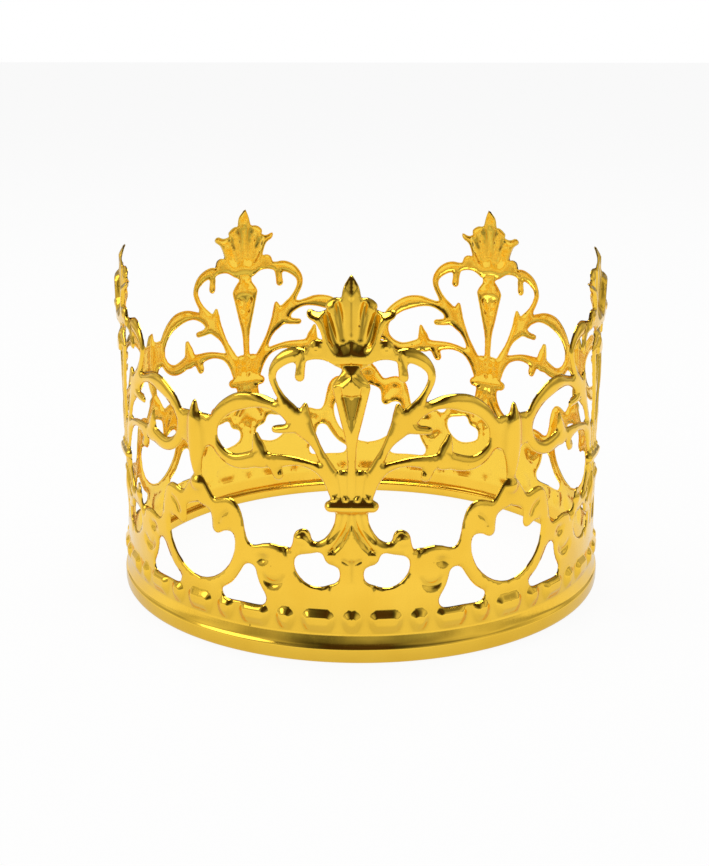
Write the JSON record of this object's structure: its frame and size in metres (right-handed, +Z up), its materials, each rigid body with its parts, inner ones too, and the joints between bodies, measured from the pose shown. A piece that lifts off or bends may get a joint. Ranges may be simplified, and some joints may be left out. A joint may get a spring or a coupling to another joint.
{
  "type": "filigree crown",
  "caption": "Pierced gilt sheet-metal crown: leaf-tipped scrollwork peaks rise from a beaded band with a rolled hem, standing as a cake topper or display ornament.",
  "frame": {"origin": "centre of the ring on the underside of the rolled hem", "axes": "+Z up along the ring's axis, -Y towards the front peak, +X to the viewer's right"},
  "size_m": [0.1326, 0.1326, 0.094],
  "materials": {
    "gilt": "bright polished gold plate"
  },
  "bodies": {
    "root": {"crown": "gilt"}
  },
  "joints": []
}
